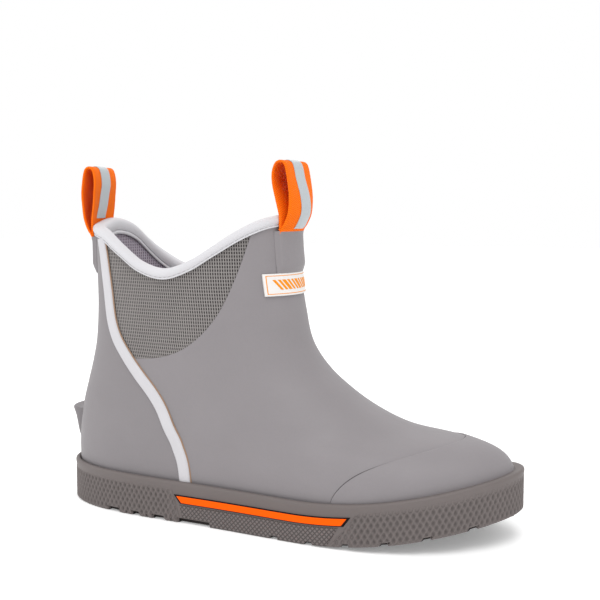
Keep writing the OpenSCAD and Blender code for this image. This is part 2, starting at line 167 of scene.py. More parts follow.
def wall(t, z, off=0.0):
    """Point of the upper at angle t and height z, moved out by off."""
    t, z = np.broadcast_arrays(np.asarray(t, float), np.asarray(z, float))
    return wall_point(t, z) + np.asarray(off, float)[..., None] * wall_normal(t, z)


def sole_x(t):
    """How far along the sole its edge is at angle t."""
    return LENGTH / 2 * (1 + np.cos(np.radians(t)))


def edge(t, z, off=0.0):
    """Point of the sole's edge at angle t and height z, moved out by off."""
    t, z, off = np.broadcast_arrays(*(np.asarray(value, float) for value in (t, z, off)))
    here, before, after = (np.stack([sole_x(a), -half_width(SOLE_HALF_WIDTHS, a)], axis=-1)
                           for a in (t, t - 0.5, t + 0.5))
    d = before - after
    n = np.stack([-d[..., 1], d[..., 0]], axis=-1) / np.linalg.norm(d, axis=-1, keepdims=True)
    p = here - off[..., None] * n
    return place(p[..., 0], p[..., 1], z)


def lip(t):
    """Height of the sidewall's lip, before the toe spring."""
    return LIP_TOE + (LIP_HEEL - LIP_TOE) * (1 - sole_x(t) / LENGTH)


def turn(t):
    """Angle from the toe, alike on both sides."""
    t = np.mod(t, 360)
    return np.where(t > 180, 360 - t, t)


def seam_angle(z):
    """Angle of the side seam at height z."""
    return smooth(SEAM, z)[..., 0]


def rim(t):
    """Height of the collar's edge round the opening."""
    a = turn(t)
    return np.where(np.mod(t, 360) < 180, smooth(RIM_OUTER, a)[..., 0], smooth(RIM_INNER, a)[..., 0])


def gore_edge(t):
    """Height of the stretch gore's lower edge."""
    reach = np.clip((GORE_ANGLE - turn(t)) / GORE_SPAN, 0, None)
    return GORE_LOW + (GORE_HIGH - GORE_LOW) * reach**GORE_POWER


def cap_edge(t):
    """Height of the toe cap's upper edge."""
    rise = np.clip(1 - (turn(t) / CAP_ANGLE) ** CAP_POWER, 0, None) ** CAP_ROUND
    return CAP_LOW + (CAP_HIGH - CAP_LOW) * rise


def vamp_top(p):
    """Top of the vamp at share p of the way to the side seam."""
    z = np.minimum(rim(p * 125) - BINDING_COVERS, gore_edge(p * 120))
    for _ in range(4):
        a = p * seam_angle(z)
        z = np.minimum(rim(a) - BINDING_COVERS, gore_edge(a))
    return z


def bump(x, low, high):
    """Smooth step from 0 at low to 1 at high."""
    s = np.clip((x - low) / (high - low), 0, 1)
    return s * s * (3 - 2 * s)


# ---------------------------------------------------------------- meshes


def new_object(name, points, faces, material, grain=None, sharp=38.0):
    """Closed mesh from points in millimetres and quads; grain is a pattern coordinate in millimetres."""
    points = np.asarray(points, np.float64).reshape(-1, 3)
    faces = np.asarray(faces, np.int32).reshape(-1, 4)
    a, b, c, d = (points[faces[:, k]] for k in range(4))
    if np.sum(a * (np.cross(b, c) + np.cross(c, d))) < 0:
        faces = faces[:, ::-1]
    mesh = bpy.data.meshes.new(name)
    mesh.vertices.add(len(points))
    mesh.vertices.foreach_set("co", (points * MM).astype(np.float32).ravel())
    mesh.loops.add(faces.size)
    mesh.loops.foreach_set("vertex_index", np.ascontiguousarray(faces).ravel())
    mesh.polygons.add(len(faces))
    mesh.polygons.foreach_set("loop_start", np.arange(0, faces.size, 4, dtype=np.int32))
    mesh.update(calc_edges=True)
    mesh.validate()
    mesh.polygons.foreach_set("use_smooth", np.ones(len(mesh.polygons), bool))
    mesh.set_sharp_from_angle(angle=math.radians(sharp))
    if grain is not None:
        layer = mesh.attributes.new("grain", "FLOAT_VECTOR", "POINT")
        layer.data.foreach_set("vector", np.asarray(grain, np.float32).ravel())
    mesh.materials.append(material)
    obj = bpy.data.objects.new(name, mesh)
    bpy.context.scene.collection.objects.link(obj)
    return obj


def grid_quads(n, m, wrap_u=False, wrap_v=False, start=0, flip=False):
    """Quads of an n by m grid of points."""
    i = np.arange(n if wrap_u else n - 1)
    j = np.arange(m if wrap_v else m - 1)
    i, j = np.meshgrid(i, j, indexing="ij")
    i2, j2 = (i + 1) % n, (j + 1) % m
    quads = np.stack([i * m + j, i2 * m + j, i2 * m + j2, i * m + j2], axis=-1).reshape(-1, 4) + start
    return quads[:, ::-1] if flip else quads


def strip_quads(a, b):
    """Quads between two rows of point numbers."""
    return np.stack([a[:-1], a[1:], b[1:], b[:-1]], axis=-1)


def shell(name, outer, inner, material, wrap=False, grain=None, sharp=38.0):
    """Closed shell between two n by m grids of points; wrap joins the last column to the first."""
    n, m = outer.shape[:2]
    size = n * m
    number = np.arange(size).reshape(n, m)
    quads = [grid_quads(n, m, wrap), grid_quads(n, m, wrap, start=size, flip=True)]
    columns = np.append(np.arange(n), 0) if wrap else np.arange(n)
    quads.append(strip_quads(number[columns, 0], number[columns, 0] + size)[:, ::-1])
    quads.append(strip_quads(number[columns, -1], number[columns, -1] + size))
    if not wrap:
        quads.append(strip_quads(number[0], number[0] + size))
        quads.append(strip_quads(number[-1], number[-1] + size)[:, ::-1])
    points = np.concatenate([outer.reshape(-1, 3), inner.reshape(-1, 3)])
    if grain is not None:
        grain = np.concatenate([grain.reshape(-1, 3)] * 2)
    return new_object(name, points, np.concatenate(quads), material, grain, sharp)


def ring_quads(n, m, wrap=False, start=0):
    """Quads of a solid through n rings of m points; open ends are capped by ladders."""
    quads = [grid_quads(n, m, wrap, True, start)]
    if not wrap:
        j = np.arange(m // 2 - 1)
        ladder = np.stack([j, m - 1 - j, m - 2 - j, j + 1], axis=-1) + start
        quads += [ladder[:, ::-1], ladder + (n - 1) * m]
    return np.concatenate(quads)


def sweep(name, rings, material, wrap=False, grain=None, sharp=38.0):
    """Solid through closed rings, given as an n by m by 3 array."""
    n, m = rings.shape[:2]
    return new_object(name, rings.reshape(-1, 3), ring_quads(n, m, wrap), material, grain, sharp)


def many(name, solids, material, wrap=False, sharp=38.0):
    """One object of many like solids, given as a k by n by m by 3 array of rings."""
    k, n, m = solids.shape[:3]
    quads = np.concatenate([ring_quads(n, m, wrap, i * n * m) for i in range(k)])
    return new_object(name, solids.reshape(-1, 3), quads, material, None, sharp)


def stations(count, length, radius):
    """Shares from 0 to 1 along a length, closer together in the rounded ends."""
    near = radius * (1 - np.cos(np.radians([0, 30, 50, 70, 90])))
    middle = np.linspace(near[-1], length - near[-1], count)
    return np.concatenate([near[:-1], middle, length - near[-2::-1]]) / length


def run_length(points, axis):
    """Distance along a grid's rows or columns from their first point."""
    steps = np.linalg.norm(np.diff(points, axis=axis), axis=-1)
    total = np.cumsum(steps, axis=axis)
    pad = [(0, 0), (0, 0)]
    pad[axis] = (1, 0)
    return np.pad(total, pad)


def edge_drop(points, radius, sides):
    """How far a rounded edge falls below the face, on the named sides of a grid."""
    u, v = run_length(points, 0), run_length(points, 1)
    distance = {"u0": u, "u1": u[-1:] - u, "v0": v, "v1": v[:, -1:] - v}
    d = np.full(points.shape[:2], np.inf)
    for side in sides:
        d = np.minimum(d, distance[side])
    d = np.clip(d, 0, radius)
    return radius - np.sqrt(np.clip(radius**2 - (radius - d) ** 2, 0, None))


def panel(name, surface, column, low, high, outer, inner, count, size, material,
          radius=0.6, sides=("u0", "u1", "v0", "v1"), detail=None, wrap=False):
    """Layer on a surface: column(u, z) is its angle, low(u) and high(u) its lower and upper edges."""
    if wrap:
        u = np.linspace(0, 1, count[0], endpoint=False)
    else:
        u = stations(count[0], size[0], radius)
    v = stations(count[1], size[1], radius)
    u, v = np.meshgrid(u, v, indexing="ij")
    z = low(u) + (high(u) - low(u)) * v
    t = column(u, z)
    face = surface(t, z, 0.0 * z)
    off = outer - edge_drop(face, radius, sides)
    grain = np.stack([run_length(face, 0), run_length(face, 1), 0 * z], axis=-1)
    if detail:
        off = off + detail(t, z, face)
    return shell(name, surface(t, z, off), surface(t, z, inner + 0 * z), material, wrap, grain)


# ---------------------------------------------------------------- materials


class Look:
    """A principled material with a few short calls for its nodes."""

    def __init__(self, name, color, roughness, **sockets):
        self.material = bpy.data.materials.new(name)
        self.material.use_nodes = True
        self.nodes, self.links = self.material.node_tree.nodes, self.material.node_tree.links
        self.shader = self.nodes["Principled BSDF"]
        self.shader.inputs["Base Color"].default_value = (*color, 1)
        self.shader.inputs["Roughness"].default_value = roughness
        for key, value in sockets.items():
            self.shader.inputs[key.replace("_", " ")].default_value = value
        self.color = color
        self.coords = self.nodes.new("ShaderNodeTexCoord").outputs["Object"]
        self.height = None

    def node(self, kind, links=(), **values):
        """New node; links maps an input to a socket, values sets properties or inputs."""
        node = self.nodes.new("ShaderNode" + kind)
        for key, value in values.items():
            if hasattr(node, key):
                setattr(node, key, value)
            else:
                node.inputs[key].default_value = value
        for key, socket in dict(links).items():
            self.links.new(socket, node.inputs[key])
        return node

    def math(self, operation, a, b=0.0, c=0.0):
        node = self.nodes.new("ShaderNodeMath")
        node.operation = operation
        for i, value in enumerate((a, b, c)):
            if isinstance(value, bpy.types.NodeSocket):
                self.links.new(value, node.inputs[i])
            else:
                node.inputs[i].default_value = value
        return node.outputs[0]

    def noise(self, scale, detail=3.0, roughness=0.55, coords=None):
        return self.node("TexNoise", {"Vector": coords or self.coords}, Scale=scale, Detail=detail,
                         Roughness=roughness).outputs["Fac"]

    def grain(self):
        """The mesh's pattern coordinates in millimetres, as two sockets."""
        vector = self.node("Attribute", attribute_name="grain").outputs["Vector"]
        split = self.node("SeparateXYZ", {"Vector": vector})
        return split.outputs["X"], split.outputs["Y"]

    def wave(self, value, pitch, sharp=1.0):
        """0 to 1 and back over each pitch."""
        turned = self.math("MULTIPLY", value, 2 * math.pi / pitch)
        wave = self.math("MULTIPLY_ADD", self.math("COSINE", turned), 0.5, 0.5)
        return self.math("POWER", wave, sharp) if sharp != 1.0 else wave

    def mix(self, factor, low, high):
        """Colour between two colours, or sockets of colour."""
        node = self.nodes.new("ShaderNodeMix")
        node.data_type = "RGBA"
        self.links.new(factor, node.inputs["Factor"])
        for key, value in (("A", low), ("B", high)):
            socket = [s for s in node.inputs if s.name == key and s.type == "RGBA"][0]
            if isinstance(value, bpy.types.NodeSocket):
                self.links.new(value, socket)
            else:
                socket.default_value = (*value, 1)
        return [s for s in node.outputs if s.type == "RGBA"][0]

    def paint(self, socket):
        self.links.new(socket, self.shader.inputs["Base Color"])
        return self

    def mottle(self, scale, amount, fine_scale=0.0, fine_amount=0.0, base=None):
        """Lightens and darkens the colour a little with noise."""
        factor = self.math("MULTIPLY_ADD", self.noise(scale), 2 * amount, 1 - amount)
        if fine_scale:
            fine = self.math("MULTIPLY_ADD", self.noise(fine_scale, 2), 2 * fine_amount, 1 - fine_amount)
            factor = self.math("MULTIPLY", factor, fine)
        node = self.node("VectorMath", operation="SCALE")
        if base is None:
            node.inputs[0].default_value = self.color
        else:
            self.links.new(base, node.inputs[0])
        self.links.new(factor, node.inputs["Scale"])
        return self.paint(node.outputs[0])

    def gloss(self, scale, low, high):
        """Roughness that wanders between low and high."""
        wander = self.math("MULTIPLY_ADD", self.noise(scale, 2), high - low, low)
        self.links.new(wander, self.shader.inputs["Roughness"])
        return self

    def relief(self, height, distance, strength=1.0):
        """Adds a bump of that depth in millimetres."""
        node = self.node("Bump", {"Height": height}, Strength=strength, Distance=distance * MM)
        if self.height is not None:
            self.links.new(self.height, node.inputs["Normal"])
        self.height = node.outputs["Normal"]
        self.links.new(self.height, self.shader.inputs["Normal"])
        return self


def rubber(name, color, low=0.46, high=0.58, mottle=0.045, grit=0.05, **sockets):
    """Moulded rubber or foam with roughness from low to high and a fine grit."""
    look = Look(name, color, (low + high) / 2, **{"Specular_IOR_Level": 0.3, **sockets})
    look.mottle(38, mottle, 900, 0.03).gloss(60, low, high)
    look.relief(look.noise(170, 2), 0.35, 0.35)
    look.relief(look.noise(2600, 3), grit, 0.5)
    return look.material


def crosshatch(name, color, pitch):
    """Sole rubber with a fine lattice of sunk lines, cut across both diagonals, with painted shade in the lines.
    """
    look = Look(name, color, 0.6, Specular_IOR_Level=0.3)
    s, v = look.grain()
    lines = [look.wave(look.math(op, s, v), pitch * math.sqrt(2), 4) for op in ("ADD", "SUBTRACT")]
    sunk = look.math("MAXIMUM", *lines)
    # painted shade: the sunk lines are coloured at 0.42 of the rubber
    recess_shade_color = look.mix(sunk, color, tuple(0.42 * c for c in color))
    look.mottle(45, 0.05, 800, 0.05, base=recess_shade_color).gloss(70, 0.52, 0.68)
    look.relief(look.math("SUBTRACT", 1.0, sunk), 0.4, 1.0)
    look.relief(look.noise(2400, 3), 0.05, 0.5)
    return look.material


def pitted(name, color):
    """Bumper rubber with painted shade down in its pits and a little painted light on its ridges; the grain's
    third number is the depth.
    """
    look = Look(name, color, 0.62, Specular_IOR_Level=0.3)
    vector = look.node("Attribute", attribute_name="grain").outputs["Vector"]
    split = look.node("SeparateXYZ", {"Vector": vector})
    # painted shade in the pits and painted light on the ridges, both set by the pit depth
    recess_shade_color = look.mix(split.outputs["Z"], tuple(1.06 * c for c in color), tuple(0.62 * c for c in color))
    look.mottle(60, 0.06, 900, 0.05, base=recess_shade_color)
    look.relief(look.noise(2600, 3), 0.06, 0.5)
    return look.material


def mesh_weave(name, yarn, hole_shade, pitch, row):
    """Stretch mesh: pale upright ribs and thinner rows, with painted shade in the holes between them."""
    look = Look(name, yarn, 0.8, Specular_IOR_Level=0.2)
    s, v = look.grain()
    wobble = look.math("MULTIPLY_ADD", look.noise(90, 2), 0.4, s)
    rib = look.wave(wobble, pitch, 1.4)
    thread = look.math("MULTIPLY", look.wave(v, row, 3), 0.85)
    lit = look.math("MAXIMUM", rib, thread)
    # painted shade: the holes between the yarns take the dark second colour
    look.mottle(60, 0.06, 1500, 0.10, base=look.mix(lit, hole_shade, yarn))
    look.relief(lit, 0.35, 0.8)
    look.relief(look.noise(5200, 2), 0.05, 0.6)
    return look.material


def cloth(name, color, pitch, depth=0.06, roughness=0.62, **sockets):
    """Close plain weave."""
    look = Look(name, color, roughness, **sockets)
    s, v = look.grain()
    weave = look.math("MULTIPLY", look.wave(s, pitch), look.wave(v, pitch))
    look.mottle(50, 0.025, 1200, 0.03).relief(weave, depth, 0.6)
    look.relief(look.noise(140, 2), 0.25, 0.4)
    return look.material


def webbing_look(name, color):
    """Ribbed webbing: grain X runs across the band and Y along it; painted shade, darker and redder, between the
    ribs.
    """
    look = Look(name, color, 0.75, Specular_IOR_Level=0.12)
    s, v = look.grain()
    slanted = look.math("MULTIPLY_ADD", look.math("PINGPONG", s, 2.2), 0.55, v)
    rib = look.wave(slanted, 1.25, 0.7)
    yarn = look.wave(s, 1.1, 0.7)
    weave = look.math("MULTIPLY", rib, look.math("MULTIPLY_ADD", yarn, 0.4, 0.6))
    # painted shade: darker, redder colour in the valleys between the ribs
    rib_gap_shade = tuple(share * c for share, c in zip((0.72, 0.5, 0.3), color))
    look.mottle(120, 0.04, 1400, 0.05, base=look.mix(weave, rib_gap_shade, color))
    look.relief(weave, 0.16, 0.9)
    return look.material


GREY = (0.226, 0.210, 0.218)
TAUPE = (0.140, 0.120, 0.116)
upper_rubber = rubber("upper_rubber", GREY)
quarter_rubber = rubber("quarter_rubber", tuple(0.95 * c for c in GREY))
seam_shadow = rubber("seam_shadow", tuple(0.35 * c for c in GREY))
lip_rubber = rubber("lip_rubber", TAUPE, 0.5, 0.62, 0.05, 0.05)
bumper_rubber = pitted("bumper_rubber", TAUPE)
panel_rubber = crosshatch("panel_rubber", tuple(1.12 * c for c in TAUPE), 2.1)
# sole taupe darkened to 0.22 with little specular: painted shade for the tread and the notches
tread_rubber_painted_shade = rubber("tread_rubber_painted_shade", tuple(0.22 * c for c in TAUPE), 0.6, 0.75, 0.08, 0.08,
                      Specular_IOR_Level=0.1)
orange_rubber = rubber("orange_rubber", (0.98, 0.105, 0.0), 0.42, 0.5, 0.02, 0.03, Specular_IOR_Level=0.06)
black_rubber = rubber("black_rubber", (0.004, 0.003, 0.003), 0.45, 0.6, 0.05, 0.04, Specular_IOR_Level=0.12)
# each mesh's second colour is the painted shade in its holes
gore_mesh = mesh_weave("gore_mesh", (0.30, 0.28, 0.272), (0.010, 0.008, 0.008), GORE_RIB, 2.1)
lining_mesh = mesh_weave("lining_mesh", (0.52, 0.47, 0.53), (0.19, 0.16, 0.20), 1.9, 1.9)
white_cloth = cloth("white_cloth", (0.57, 0.565, 0.585), 0.9, Specular_IOR_Level=0.25)
piping_cloth = cloth("piping_cloth", (0.54, 0.53, 0.55), 0.8, Specular_IOR_Level=0.25)
white_thread = cloth("white_thread", (0.42, 0.41, 0.415), 0.4, 0.05, 0.7)
orange_webbing = webbing_look("orange_webbing", (1.0, 0.20, 0.004))
# thin brown line along the piping's front edge
piping_edge_brown = rubber("piping_edge_brown", (0.30, 0.19, 0.125), 0.5, 0.6, 0.1, 0.05)
tape = cloth("tape", (0.40, 0.435, 0.455), 0.5, 0.03, 0.42)
label_white = rubber("label_white", (0.72, 0.70, 0.68), 0.45, 0.55, 0.02, 0.03)
label_orange = rubber("label_orange", (0.76, 0.26, 0.012), 0.42, 0.5, 0.03, 0.03, Specular_IOR_Level=0.1)

BOOT = "boot"


def settle(obj, slot, *nodes, body=BOOT):
    """Rides on a body and stands for CAD nodes, whose parts it hides; slot is not used."""
    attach(obj, body)
    if nodes:
        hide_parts(*nodes)
    return obj


def along_wall(t, z, start):
    """Distance round the upper from angle start to t at height z."""
    share = np.linspace(0, 1, 25)
    path = wall(start + (t[..., None] - start) * share, z[..., None] + 0 * share)
    return np.linalg.norm(np.diff(path, axis=-2), axis=-1).sum(axis=-1) * np.sign(t - start)


def along_edge(t, start=0.0):
    """Distance round the sole's edge from angle start to t."""
    fine = np.arange(-180, 541, 0.5)
    steps = np.linalg.norm(np.diff(edge(fine, 0 * fine), axis=0), axis=-1)
    total = np.append(0, np.cumsum(steps))
    return np.interp(t, fine, total) - np.interp(start, fine, total)


# ---------------------------------------------------------------- upper


def dents(t, z, face):
    """Slow unevenness of a moulded rubber face."""
    x, y, h = face[..., 0], face[..., 1], face[..., 2]
    return 0.14 * (np.sin(x / 17 + h / 23) * np.sin(h / 13 - y / 19) + 0.6 * np.sin(x / 9 - h / 11 + y / 15))


def make_vamp():
    """Front of the upper, from side seam to side seam."""
    def column(u, z):
        return (2 * u - 1) * (seam_angle(z) - SEAM_GAP)

    obj = panel("vamp", wall, column, lambda u: UPPER_LOW + 0 * u, lambda u: vamp_top(2 * u - 1), 0.0, -RUBBER,
                (210, 100), (400, 120), upper_rubber, radius=0.5, sides=("v1",), detail=dents)
    settle(obj, "upper_rubber", "vamp")


def quarter_angle(u, z):
    """Angle at share u of the way round the back, from seam to seam."""
    a = seam_angle(z) + SEAM_GAP
    return a + u * (360 - 2 * a)


def quarter_top(u):
    """Height of the quarter's upper edge, found from a first guess."""
    z = 170 + 0 * u
    for _ in range(4):
        z = rim(quarter_angle(u, z)) - BINDING_COVERS
    return z


def make_quarter():
    """Back of the upper."""
    obj = panel("heel_quarter", wall, quarter_angle, lambda u: UPPER_LOW + 0 * u, quarter_top, 0.0, -RUBBER,
                (110, 120), (150, 160), quarter_rubber, radius=0.5, sides=(), detail=dents)
    settle(obj, "upper_rubber", "heel_quarter")


def make_gores():
    """Stretch mesh on both sides of the shaft, with upright ribs."""
    for side, name, first in ((1, "outer_gore", 0.262), (-1, "inner_gore", 0.254)):
        share = side * (first + (1 - first) * np.linspace(0, 1, 260)[:, None] + np.zeros(60))
        low = vamp_top(share) - 1.5
        high = rim(share * seam_angle(rim(share * seam_angle(170)))) - 3
        z = low + (high - low) * np.linspace(0, 1, 60)
        t = share * (seam_angle(z) - 0.3)
        s = along_wall(t, z, side * 90.0)
        off = -0.42 + 0.14 * np.cos(2 * np.pi * s / GORE_RIB)
        grain = np.stack([s, z, 0 * s], axis=-1)
        obj = shell(name, wall(t, z, off), wall(t, z, -RUBBER + 0 * z), gore_mesh, False, grain, 60)
        settle(obj, "gore_mesh", name)


def make_toe_cap():
    """Moulded cap over the toes, and the groove along its edge."""
    reach = CAP_ANGLE - 0.4
    obj = panel("toe_cap", wall, lambda u, z: reach * (2 * u - 1), lambda u: 23.0 + 0 * u,
                lambda u: np.maximum(23.6, cap_edge(reach * (2 * u - 1))), 0.85, 0.1, (190, 40), (190, 22),
                upper_rubber, radius=0.8, sides=("u0", "u1", "v1"),
                detail=lambda t, z, face: dents(t, z, face) * 0.6)
    settle(obj, "upper_rubber", "toe_cap")
    t = np.linspace(-reach, reach, 260)
    edge_row = wall(t, cap_edge(t))
    n = wall_normal(t, cap_edge(t))
    upwards = np.cross(n, np.gradient(edge_row, axis=0))
    upwards *= np.sign(upwards[len(t) // 2, 2]) / np.linalg.norm(upwards, axis=-1, keepdims=True)
    section = np.array([[-0.5, 0.02], [-0.1, 0.2], [0.3, 0.2], [0.5, 0.04], [0.3, -0.25], [-0.3, -0.25]])
    at_sides, at_top = bump(np.abs(t), 38, 58), 1 - bump(np.abs(t), 5, 12)
    size = np.maximum(0.2 + 0.8 * at_sides, at_top)[:, None, None]
    rings = edge_row[:, None] + size * (upwards[:, None] * section[:, :1] + n[:, None] * section[:, 1:])
    settle(sweep("toe_cap_seam", rings, seam_shadow), "upper_rubber")


def ribbon(side, low, high, count, across, offsets):
    """Rings of a strip that follows a side seam; across and offsets give its section."""
    z = np.linspace(low, high, count)
    t = side * seam_angle(z)
    centre, n = wall(t, z, 0 * z), wall_normal(t, z)
    ahead = wall(side * seam_angle(z + 1), z + 1, 0 * z) - wall(side * seam_angle(z - 1), z - 1, 0 * z)
    sideways = side * np.cross(ahead, n)
    sideways /= np.linalg.norm(sideways, axis=-1, keepdims=True)
    across, offsets = np.asarray(across), np.asarray(offsets)
    rings = (centre[:, None] + sideways[:, None] * across[:, None] + n[:, None] * offsets[:, None])
    along = np.append(0, np.cumsum(np.linalg.norm(np.diff(centre, axis=0), axis=-1)))
    grain = np.stack(np.broadcast_arrays(across, along[:, None], 0.0), axis=-1)
    return rings, grain


def make_piping():
    """White tape over each side seam, with a thin brown line along its front edge."""
    half = 4.0
    across = [-half, -0.97 * half, -0.86 * half, -0.6 * half, -0.25 * half, 0.25 * half, 0.6 * half,
              0.86 * half, 0.97 * half, half, 0.6 * half, 0.2 * half, -0.2 * half, -0.6 * half]
    offsets = [0.3, 0.95, 1.35, 1.55, 1.62, 1.62, 1.55, 1.35, 0.95, 0.3, 0.1, 0.1, 0.1, 0.1]
    for side, name in ((1, "outer_piping"), (-1, "inner_piping")):
        top = 174.3 if side > 0 else 157.0
        rings, grain = ribbon(side, 23.5, top, 150, across, offsets)
        settle(sweep(name, rings, piping_cloth, grain=grain), "white_trim", name)
        front = [half - 0.3, half + 0.1, half + 0.5, half + 0.75, half + 0.5, half - 0.3]
        rings, grain = ribbon(side, 24, top - 1, 120, front, [0.5, 0.62, 0.5, 0.12, -0.1, -0.1])
        settle(sweep(name + "_edge", rings, piping_edge_brown, grain=grain), "white_trim")


def chaikin(points, rounds=2):
    """Rounds the corners of a closed outline."""
    points = np.asarray(points, float)
    for _ in range(rounds):
        after = np.roll(points, -1, axis=0)
        points = np.stack([0.75 * points + 0.25 * after, 0.25 * points + 0.75 * after], axis=1).reshape(-1, 2)
    return points


# Offset from the upper's face and height from the rim, once round the collar's binding
BINDING = [
    (0.35, -6.5), (1.3, -6.4), (1.55, -5.9), (1.3, -5.45), (0.85, -5.2), (1.5, -4.7), (2.0, -3.6),
    (2.1, -2.4), (1.7, -1.1), (0.7, -0.2), (-1, 0.15), (-2.9, 0.15), (-4.7, -0.2), (-6.1, -1.2),
    (-6.9, -2.8), (-7.1, -4.8), (-6.9, -6.8), (-6.6, -8), (-6.1, -8.4), (-6.6, -8.8), (-6.8, -9.6),
    (-6.6, -10.6), (-5.6, -11), (-5.2, -8), (-4.5, -3), (0.2, -3),
]


def make_binding():
    """White rolled edge of the collar with its row of stitches."""
    outline = chaikin(BINDING)
    t = np.arange(0, 360, 0.9)
    rings = wall(t[:, None], rim(t)[:, None] + outline[:, 1], outline[:, 0])
    girth = np.append(0, np.cumsum(np.linalg.norm(np.diff(rings[:, 0], axis=0), axis=-1)))
    round_section = np.append(0, np.cumsum(np.linalg.norm(np.diff(outline, axis=0), axis=-1)))
    grain = np.stack(np.broadcast_arrays(girth[:, None], round_section, 0.0), axis=-1)
    obj = sweep("collar_binding", rings, white_cloth, wrap=True, grain=grain)
    settle(obj, "white_trim", "collar_binding")
    stitch_row("binding_stitches", lambda a: rim(a) - 5.2, 0.98, np.arange(0, 360, 0.2), 3.4, 2.3, 0.32,
               white_thread, "white_trim")


def stitch_row(name, height, off, angles, pitch, length, radius, material, slot):
    """Row of stitches on the upper along height(angle)."""
    path = wall(angles, height(angles), off + 0 * angles)
    total = np.append(0, np.cumsum(np.linalg.norm(np.diff(path, axis=0), axis=-1)))
    middles = np.arange(pitch / 2, total[-1] - pitch / 2, pitch)
    share = np.array([-0.5, -0.42, -0.2, 0.2, 0.42, 0.5])
    thick = np.array([0.25, 0.75, 1, 1, 0.75, 0.25])
    turn_angles = np.radians(np.arange(0, 360, 45))
    solids = []
    for middle in middles:
        a = np.interp(middle + share * length, total, angles)
        centre = wall(a, height(a), off - 0.35 * (2 * share) ** 4)
        n = wall_normal(a, height(a))
        ahead = np.gradient(centre, axis=0)
        sideways = np.cross(ahead, n)
        sideways /= np.linalg.norm(sideways, axis=-1, keepdims=True)
        r = (radius * thick)[:, None, None]
        solids.append(centre[:, None] + r * (n[:, None] * np.cos(turn_angles)[:, None]
                                             + sideways[:, None] * np.sin(turn_angles)[:, None]))
    settle(many(name, np.array(solids), material, sharp=80), slot)


def make_lining():
    """Knitted lining inside the shaft."""
    t = np.arange(0, 360, 1.5)[:, None] + np.zeros(90)
    z = UPPER_LOW + (rim(t) - BINDING_COVERS - UPPER_LOW) * np.linspace(0, 1, 90)
    grain = np.stack([along_wall(t, z, 0.0), z, 0 * z], axis=-1)
    outer, inner = wall(t, z, -LINING_OUT + 0 * z), wall(t, z, -LINING_IN + 0 * z)
    obj = shell("lining", outer, inner, lining_mesh, True, grain, 60)
    settle(obj, "lining_knit", "lining")


def make_kick():
    """Ledge at the back of the heel for kicking the boot off."""
    half_angle, reach, flat = 11.5, 9.0, 0.92
    profile = chaikin([
        (-0.6, 39), (0.5, 39.4), (2.2, 43), (5.4, 52), (8.3, 56.2), (reach, 57.3), (reach, 58.2),
        (8.2, 58.6), (4.5, 58.3), (1.2, 58.6), (0.3, 59.8), (-0.6, 60)])
    round_off = np.radians(np.arange(0, 91, 10))
    s = np.concatenate([-np.cos(round_off[:-1]) * (1 - flat) - flat, np.linspace(-flat, flat, 24)[1:-1],
                        flat + (1 - flat) * np.sin(round_off)])
    ends = np.sqrt(np.clip(1 - ((np.abs(s) - 0.9) / 0.1).clip(0, 1) ** 2, 0.02, 1))
    fall = ((1 - 0.22 * np.abs(s) ** 4) * ends)[:, None]
    t = 180 + half_angle * s[:, None]
    rings = wall(t, profile[:, 1], np.where(profile[:, 0] > 0, profile[:, 0] * fall, profile[:, 0]))
    settle(sweep("heel_kick", rings, quarter_rubber), "upper_rubber", "heel_kick")


# ---------------------------------------------------------------- collar pieces and pull loops


def patch(name, centre, half_angle, low, high, inner, outer, material, count, radius, detail=None):
    """Rectangular layer on the upper; a degree of angle is about 0.9 mm of width."""
    return panel(name, wall, lambda u, z: centre + half_angle * (2 * u - 1), lambda u: low + 0 * u,
                 lambda u: high + 0 * u, outer, inner, count, (2 * half_angle * 0.9, high - low), material,
                 radius, detail=detail)


FRONT_LOOP = dict(
    t0=0.0, degrees=1.125, pinch=FRONT_PINCH, height=40.0, belly=4.25, tail=22.5,
    lean=[[0, 0], [4, 1.2], [8.5, 2], [14, 1.4], [20, 0.1], [26, -1.5], [32, -2.5], [40, -2.3]])
REAR_LOOP = dict(
    t0=170.0, degrees=0.861, pinch=REAR_PINCH, height=42.0, belly=3.3, tail=20.5,
    lean=[[0, 0], [5, 1.35], [10.5, 2], [18, 1.5], [25, 1.1], [32, 0.2], [42, 0]])


def loop_axes(spec):
    """Directions out from the upper and along it where a loop stands, and the hinge under it."""
    t0, pinch = np.array([spec["t0"]]), np.array([float(spec["pinch"])])
    out = wall_normal(t0, pinch)[0, :2]
    out /= np.linalg.norm(out)
    return out, np.array([-out[1], out[0]]), wall(t0, pinch, LOOP_OFF + 0 * t0)[0]


def loop_middle(spec, a, u, width):
    """Middle surface of a loop's webbing at angle a, u from -1 to 1 across its width."""
    a, u = np.broadcast_arrays(np.asarray(a, float), np.asarray(u, float))
    r = np.radians(a)
    up = spec["height"] * (1 - np.cos(r)) / 2
    out = (smooth(spec["lean"], up)[..., 0] + spec["belly"] * np.sin(r) * np.abs(np.sin(r / 2)) / 0.77
           + 0.95 * np.sin(r) / np.maximum(0.3, np.abs(np.sin(r))))
    pinch, half = spec["pinch"], spec["degrees"] * WEBBING_WIDTH / 2
    outward, side, _ = loop_axes(spec)
    base = wall(spec["t0"] + u * spec["degrees"] * width / 2, pinch, LOOP_OFF)[..., :2]
    ends = wall(spec["t0"] + np.array([-half, 0, 0, half]), pinch, LOOP_OFF)[:, :2]
    straight = np.clip((up - 12) / 18, 0, 1)
    depth = base @ outward
    depth = depth + straight * ((ends @ outward).mean() - depth) + out
    xy = depth[..., None] * outward + (base @ side)[..., None] * side
    return np.concatenate([xy, (pinch + LOOP_GAP + up)[..., None]], axis=-1)


